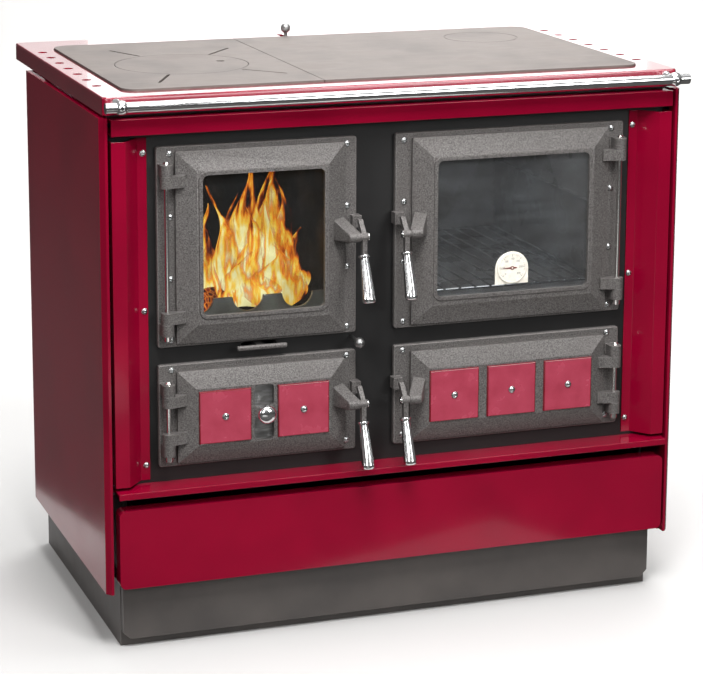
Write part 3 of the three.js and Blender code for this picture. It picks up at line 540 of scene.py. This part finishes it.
def fluteWave(angle, height):
    # flutes fade in below the neck and out above the rounded end
    fadeIn = (height - gripLook["fluteStart"] * mm) / (6 * mm)
    fadeOut = (gripLook["fluteEnd"] * mm - height) / (8 * mm)
    fade = min(max(fadeIn, 0), 1) * min(max(fadeOut, 0), 1)
    return 1 - gripLook["depth"] * fade * (0.5 - 0.5 * math.cos(gripLook["flutes"] * angle)) ** 2


def grip(node):
    # die-cast grip: collar, fluted taper and a rounded end
    low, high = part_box(node)
    lean = math.radians(gripLook["lean"])
    direction = Vector((0, -math.sin(lean), -math.cos(lean)))
    collar = gripLook["collar"] * mm
    base = Vector(((low.x + high.x) / 2, high.y - collar * math.cos(lean), high.z - collar * math.sin(lean)))
    profile = [(0, 0.2), (8.2, 0.2), (8.9, 0.8), (8.9, 2.8), (8.2, 3.5), (6.9, 3.9), (6.6, 5.5), (6.7, 8)]
    end = gripLook["fluteEnd"]
    profile += [(6.8 + (h - 8) * gripLook["taper"], h) for h in range(11, end, 3)]
    profile += [(9.9, end), (9.8, end + 2), (9.1, end + 4), (7.6, end + 5.6), (4, end + 6.3), (0, end + 6.4)]
    bm = bmesh.new()
    turnedMesh(bm, inMetres(profile), base, direction, 96, fluteWave)
    settle(finishMesh(bm, node + "_fluted", looks["chrome"], 50), bodyOf(node), "chrome", node)


knobLook = {"disc": 25.9, "spindle": 3.5, "neck": 3.9, "cap": 14, "capHigh": 10}


def airKnob():
    # mushroom cap on a thin neck, with the disc of its spindle hidden behind the valve plate
    low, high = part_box("air_knob")
    middle = middleOf("air_knob")
    disc, spindle, neck, cap, capHigh = knobLook.values()
    top = (high.y - low.y) / mm - capHigh
    profile = [(0, 0), (spindle - 0.1, 0), (spindle - 0.1, 4.5), (disc - 0.5, 4.6), (disc, 5.1), (disc, 9),
               (disc - 0.5, 9.4), (spindle, 9.5), (spindle, 22), (neck, 22), (neck, 33), (5.8, 34),
               (6, top - 2.5), (9, top - 0.6), (cap - 0.4, top), (cap, top + 1.2), (cap, top + 3),
               (13.1, top + 5.2), (11.2, top + 7.4), (8, top + 9), (4, top + 9.8), (0, top + capHigh)]
    bm = bmesh.new()
    turnedMesh(bm, inMetres(profile), (middle.x, high.y, middle.z), (0, -1, 0), 48)
    settle(finishMesh(bm, "mushroom_knob", looks["chrome"], 50), bodyOf("air_knob"), "chrome", "air_knob")


washerLook = {"radius": 5.9, "bore": 2.2, "thick": 1.0}


def hubWasher(door):
    # plated washer and pin end on the outer face of the handle hub
    low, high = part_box(door + "_lever")
    pivot = jointPlace(door + "_handle_pivot")
    side = 1 if door in ("fire", "ash") else -1
    face = high.x if side > 0 else low.x
    outer, bore, thick = washerLook.values()
    profile = [(outer - 0.3, -0.4), (outer, 0), (outer, thick - 0.3), (outer - 0.3, thick),
               (bore + 0.5, thick), (bore + 0.4, thick + 0.7), (bore - 0.4, thick + 1.2), (0, thick + 1.3)]
    bm = bmesh.new()
    turnedMesh(bm, inMetres(profile), (face, pivot.y, pivot.z), (side, 0, 0), 28)
    settle(finishMesh(bm, door + "_hub_washer", looks["chrome"]), bodyOf(door + "_lever"), "chrome")


towelRail()
railBracket("left")
railBracket("right")
for node in grips:
    grip(node)
airKnob()
for door in ("fire", "oven", "ash", "lower"):
    hubWasher(door)
print("chrome ready")


screwLook = {"radius": 4.1, "high": 2.6, "recess": 1.5}


def screwHead(bm, place, direction, scale=1.0):
    # domed head on a thin flange, with a round recess
    r, h, k = (screwLook[key] * scale * mm for key in ("radius", "high", "recess"))
    flange = [(r * 1.12, 0.05 * mm), (r * 1.12, h * 0.2), (r, h * 0.25)]
    dome = [(r * math.cos(a), h * 0.35 + h * 0.65 * math.sin(a)) for a in [i * 0.2 for i in range(6)]]
    recess = [(k * 1.15, h * 0.96), (k, h * 0.5), (0, h * 0.45)]
    turnedMesh(bm, flange + dome + recess, place, direction, 18)


def screwSet(name, body, places, direction, scale=1.0):
    bm = bmesh.new()
    for place in places:
        screwHead(bm, place, direction, scale)
    settle(finishMesh(bm, name, zinc, 30), body, "chrome")


frameScrewLook = {
    # share of the frame's height for each row, then millimetres from the box of the frame
    "tall": (0.035, 0.342, 0.65, 0.962), "low": (0.095, 0.945), "deep": 8.2,
    "leftOuter": 19.5, "leftInner": 19.5, "rightOuter": 20.5, "rightInner": 17.6,
}


def frameScrews(door):
    low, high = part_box(door + "_door_frame")
    # the box of a frame takes in the knuckles and the catch, so its plate ends at the outer knuckle side
    if door in ("fire", "ash"):
        columns = (low.x + frameScrewLook["leftOuter"] * mm, high.x - frameScrewLook["leftInner"] * mm)
    else:
        columns = (high.x - frameScrewLook["rightOuter"] * mm, low.x + frameScrewLook["rightInner"] * mm)
    shares = frameScrewLook["tall" if door in ("fire", "oven") else "low"]
    y = high.y - frameScrewLook["deep"] * mm
    places = [(x, y, low.z + share * (high.z - low.z)) for x in columns for share in shares]
    screwSet(door + "_frame_screws", "stove", places, (0, -1, 0))


pilasterScrewLook = {"shares": (0.045, 0.5, 0.955), "inset": 6, "flange": 1.7}


def pilasterScrews(side, sign):
    low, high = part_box("pilaster_" + side)
    x = sign * (min(abs(low.x), abs(high.x)) + pilasterScrewLook["inset"] * mm)
    y = high.y - pilasterScrewLook["flange"] * mm
    places = [(x, y, low.z + share * (high.z - low.z)) for share in pilasterScrewLook["shares"]]
    screwSet(f"pilaster_screws_{side}", "stove", places, (0, -1, 0))


panelScrewLook = {"front": 36, "frontDrop": 32, "back": 19, "backDrop": 30, "sunk": 2.4}


def panelScrews(side, sign):
    low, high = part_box("side_panel_" + side)
    front, frontDrop, back, backDrop, sunk = (value * mm for value in panelScrewLook.values())
    x = (high.x if sign > 0 else low.x) - sign * sunk
    places = [(x, low.y + front, high.z - frontDrop), (x, high.y - back, high.z - backDrop)]
    screwSet(f"panel_screws_{side}", "stove", places, (sign, 0, 0), 0.9)


for door in ("fire", "oven", "ash", "lower"):
    frameScrews(door)
for side, sign in (("left", -1), ("right", 1)):
    pilasterScrews(side, sign)
    panelScrews(side, sign)
for node in [name for name in frame["nodes"] if "_tile_" in name]:
    middle = middleOf(node)
    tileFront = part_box(node)[0].y + 0.1 * mm
    screwSet(node + "_screw", bodyOf(node), [(middle.x, tileFront, middle.z)], (0, -1, 0), 1.15)
print("screws ready")


dialLook = {
    # degrees from the right-hand side, then millimetres
    "start": 220, "sweep": 260, "ticks": 30, "numbers": 6, "deep": 1.1, "tickEnd": 21.2,
    "longTick": (17.5, 0.28), "shortTick": (19.2, 0.14), "numberRing": 14, "numberHeight": 4.2,
}


def dialAngle(step, steps):
    return math.radians(dialLook["start"] - step * dialLook["sweep"] / steps)


def dialMarks():
    # a tick every 10 degrees, a longer one every 50 and the plain numbers 0 to 300
    middle = middleOf("thermometer_needle")
    hub = Vector((middleOf("thermometer").x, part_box("thermometer")[0].y + dialLook["deep"] * mm, middle.z))
    bm = bmesh.new()
    for i in range(dialLook["ticks"] + 1):
        angle = dialAngle(i, dialLook["ticks"])
        inner, half = dialLook["longTick"] if i % 5 == 0 else dialLook["shortTick"]
        along = Vector((math.cos(angle), 0, math.sin(angle)))
        across = Vector((-along.z, 0, along.x)) * half * mm
        start, end = along * inner * mm, along * dialLook["tickEnd"] * mm
        corners = [start - across, end - across, end + across, start + across]
        bm.faces.new([bm.verts.new(hub + corner) for corner in corners])
    settle(finishMesh(bm, "dial_ticks", ink), bodyOf("thermometer"), "black_steel")
    ring = dialLook["numberRing"] * mm
    for i in range(dialLook["numbers"] + 1):
        angle = dialAngle(i, dialLook["numbers"])
        curve = bpy.data.curves.new(f"dial_number_{i}", "FONT")
        curve.body = str(i * 50)
        curve.size = dialLook["numberHeight"] * mm
        curve.align_x = "CENTER"
        curve.align_y = "CENTER"
        curve.materials.append(ink)
        number = bpy.data.objects.new(f"dial_number_{i}", curve)
        number.location = hub + Vector((ring * math.cos(angle), 0, ring * math.sin(angle)))
        number.rotation_euler = (math.pi / 2, 0, 0)
        bpy.context.scene.collection.objects.link(number)
        settle(number, bodyOf("thermometer"), "black_steel")


dialMarks()
print("dial ready")


tongues = [
    # across the glass 0 to 1, how far back, height, width, lean to the side, all in metres but the first
    (0.27, 0.06, 0.12, 0.03, -0.016), (0.33, 0.09, 0.15, 0.036, -0.02), (0.36, 0.05, 0.185, 0.032, -0.014),
    (0.44, 0.08, 0.165, 0.046, 0.004), (0.5, 0.05, 0.15, 0.046, 0.014), (0.56, 0.1, 0.225, 0.05, 0.004),
    (0.64, 0.06, 0.205, 0.054, 0.01), (0.7, 0.09, 0.23, 0.056, 0.01), (0.76, 0.05, 0.215, 0.05, -0.008),
    (0.82, 0.08, 0.185, 0.044, -0.004), (0.88, 0.06, 0.11, 0.04, 0.006), (0.48, 0.03, 0.085, 0.09, 0.0),
    (0.7, 0.03, 0.095, 0.09, 0.0),
]


tongueLook = {
    "columns": 8, "rows": 40, "sunk": 0.03, "root": 0.55, "belly": 0.75, "drift": 0.013, "bulge": 0.02,
    "ripple": 0.006,
}


def flames():
    # thin curved sheets, widest below the middle, with their foot hidden behind the guard
    low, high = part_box("fire_glass")
    guardLow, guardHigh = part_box("log_guard")
    columns, rows, sunk, root, belly, sway, bulge, ripple = tongueLook.values()
    glow = flame()
    for number, (share, back, tall, wide, lean) in enumerate(tongues):
        bm = bmesh.new()
        uv = bm.loops.layers.uv.new("flame")
        foot = Vector((low.x + share * (high.x - low.x), guardHigh.y + back, guardHigh.z - sunk))
        swing = random.uniform(0, 6)
        grid = []
        for j in range(rows + 1):
            v = j / rows
            spread = wide * (root + belly * math.sin(math.pi * min(v * 1.25, 1))) * (1 - v ** 2.2) + 0.001
            drift = lean * v + sway * math.sin(7 * v + swing) * v
            line = []
            for i in range(columns + 1):
                u = i / columns
                x = foot.x + drift + (u - 0.5) * spread
                y = foot.y + bulge * math.sin(math.pi * u) + ripple * math.sin(9 * v + swing)
                line.append((bm.verts.new((x, y, foot.z + tall * v)), u, v))
            grid.append(line)
        for a, b in zip(grid, grid[1:]):
            for i in range(columns):
                corners = [a[i], a[i + 1], b[i + 1], b[i]]
                face = bm.faces.new([corner[0] for corner in corners])
                for loop, corner in zip(face.loops, corners):
                    loop[uv].uv = corner[1:]
        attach(finishMesh(bm, f"flame_{number}", glow), "stove")


logPlaces = [
    # sideways, back from the guard, up from its foot, turn in degrees, radius, length
    (-0.3, 0.05, 0.026, 28, 0.03, 0.12), (-0.17, 0.12, 0.022, -12, 0.022, 0.18),
    (-0.29, 0.12, 0.055, 40, 0.026, 0.12), (-0.31, 0.1, 0.022, 80, 0.024, 0.12),
]
barkLook = {"ribs": 24, "thin": 0.85, "thick": 1.12, "ripple": 0.05, "worn": 0.94, "lift": 0.004}


def logs():
    # short round logs, the bark of each with its own random ribs
    coal = ember()
    guardLow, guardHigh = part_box("log_guard")
    count = barkLook["ribs"]
    for number, (x, y, z, turn, radius, length) in enumerate(logPlaces):
        bm = bmesh.new()
        ribs = [random.uniform(barkLook["thin"], barkLook["thick"]) for _ in range(count)]

        def bark(angle, height):
            rib = ribs[int(angle / (2 * math.pi) * count) % count]
            return rib * (1 + barkLook["ripple"] * math.sin(70 * height + 3 * angle))

        a = math.radians(turn)
        side = [(radius, length / 2 * k / 10) for k in range(-9, 10)]
        worn = radius * barkLook["worn"]
        profile = [(0, -length / 2), (worn, -length / 2), *side, (worn, length / 2), (0, length / 2)]
        place = (x, guardHigh.y + y, guardLow.z + z + barkLook["lift"])
        turnedMesh(bm, profile, place, (math.cos(a), math.sin(a), 0.03), count, bark)
        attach(finishMesh(bm, f"burning_log_{number}", coal, 60), "stove")


flames()
logs()
print("fire ready")


sweepLook = {
    # metres along the viewing direction, half widths across it, and the height at the back
    "front": -0.56, "back": 3.2, "curve": 1.0, "top": 3.0, "near": 0.54, "far": 1.08,
    "strip": 0.55, "stripStart": -1.5, "stripEnd": -3.2, "paper": "#b5b4b3", "ground": "#2f2e2d",
}


def flatPiece(name, corners, material):
    bm = bmesh.new()
    bm.faces.new([bm.verts.new(corner) for corner in corners])
    finishMesh(bm, name, material)


def backdrop():
    # a roll of pale paper laid along the photo's viewing direction and curved up behind the stove
    azimuth = math.radians(cameraFit["azimuth"])
    along = Vector((math.sin(azimuth), math.cos(azimuth), 0))
    across = Vector((math.cos(azimuth), -math.sin(azimuth), 0))
    front, back, curve, top, near, far, strip, stripStart, stripEnd, paper, ground = sweepLook.values()
    line = [(front, 0.0), (back - curve, 0.0)]
    line += [(back - curve + curve * math.sin(a), curve - curve * math.cos(a))
             for a in [math.pi / 2 * i / 24 for i in range(1, 25)]]
    line.append((back, top))
    bm = bmesh.new()
    rows = []
    for t, z in line:
        half = near + (t - front) / (back - front) * (far - near)
        rows.append([bm.verts.new(along * t + across * k * half + Vector((0, 0, z))) for k in (-1, 1)])
    for a, b in zip(rows, rows[1:]):
        bm.faces.new([a[0], a[1], b[1], b[0]])
    finishMesh(bm, "backdrop", studio("white paper", paper, 0.8), 80)
    # a narrow tongue of the same paper towards the camera, which the plated rods reflect
    ends = ((stripStart, -1), (stripEnd, -1), (stripEnd, 1), (stripStart, 1))
    flatPiece("paper_tongue", [along * t + across * k * strip + Vector((0, 0, -0.001)) for t, k in ends],
              studio("white paper tongue", paper, 0.8))
    flatPiece("ground", [(x, y, -0.004) for x, y in ((-7, -7), (7, -7), (7, 7), (-7, 7))],
              studio("grey studio floor", ground, 0.9))


lamps = {
    # place, target, size in metres, watts
    "top_softbox": ((0.3, 0.0, 3.3), (0.1, 0.0, 0.0), 2.4, 125),
    "over_softbox": ((-0.3, -1.6, 2.4), (0, -0.2, 0.75), 0.9, 80),
    "front_softbox": ((-2.4, -3.6, 2.4), (0, -0.2, 0.6), 1.4, 50),
    "right_softbox": ((1.5, -3.5, 1.9), (0, -0.2, 0.6), 1.2, 50),
    "left_softbox": ((-3.4, 0.1, 1.7), (0, 0, 0.5), 1.2, 20),
    "wall_softbox": ((0.9, 1.3, 2.8), (1.3, 3.2, 0.9), 1.6, 110),
    "rim_softbox": ((0.95, 2.5, 1.55), (0, 0, 0.83), 1.5, 6),
    "oven_light": ((0.185, -0.18, 0.73), (0.185, -0.02, 0.5), 0.2, 0.3),
}
skyLook = {"low": 0.02, "level": 0.08, "high": 0.5}


def studioLamps():
    for name, (place, target, size, watts) in lamps.items():
        light = bpy.data.lights.new(name, "AREA")
        light.shape = "SQUARE"
        light.size = size
        light.energy = watts
        lamp = bpy.data.objects.new(name, light)
        lamp.location = place
        lamp.rotation_euler = (Vector(target) - Vector(place)).to_track_quat("-Z", "Y").to_euler()
        bpy.context.scene.collection.objects.link(lamp)
    world = bpy.data.worlds.new("studio")
    world.use_nodes = True
    tree = world.node_tree
    height = addNode(tree, "ShaderNodeSeparateXYZ", links={
        "Vector": addNode(tree, "ShaderNodeTexCoord").outputs["Generated"]}).outputs["Z"]
    glow = rampOf(tree, rangeOf(tree, height, 0, 1, -1, 1),
                  [(0.3, skyLook["low"]), (0.5, skyLook["level"]), (0.9, skyLook["high"])])
    tree.links.new(glow, tree.nodes["Background"].inputs["Color"])
    bpy.context.scene.world = world
    bpy.context.scene.view_settings.view_transform = "Standard"


cameraFit = {
    # metres, degrees, then pixels of the photo; centerY is the row that the lens axis meets
    "place": (-1.282, -3.706, 1.396), "azimuth": 19.46, "elevation": -11.74, "roll": 0.24,
    "focal": 2510, "centerY": 210, "wide": 703, "tall": 674,
}
sensorWidth = 36


def studioCamera():
    az, el, roll = (math.radians(cameraFit[k]) for k in ("azimuth", "elevation", "roll"))
    look = Vector((math.sin(az) * math.cos(el), math.cos(az) * math.cos(el), math.sin(el)))
    right = look.cross(Vector((0, 0, 1))).normalized()
    up = right.cross(look)
    turned = math.cos(roll) * right + math.sin(roll) * up
    raised = -math.sin(roll) * right + math.cos(roll) * up
    camera = bpy.data.cameras.new("photo_camera")
    camera.sensor_width = sensorWidth
    camera.sensor_fit = "HORIZONTAL"
    camera.lens = sensorWidth * cameraFit["focal"] / cameraFit["wide"]
    camera.shift_y = (cameraFit["centerY"] - cameraFit["tall"] / 2) / cameraFit["wide"]
    item = bpy.data.objects.new("photo_camera", camera)
    axes = Matrix((turned, raised, -look)).transposed().to_4x4()
    item.matrix_world = Matrix.Translation(cameraFit["place"]) @ axes
    bpy.context.scene.collection.objects.link(item)
    bpy.context.scene.camera = item


backdrop()
studioLamps()
studioCamera()
print("studio ready")
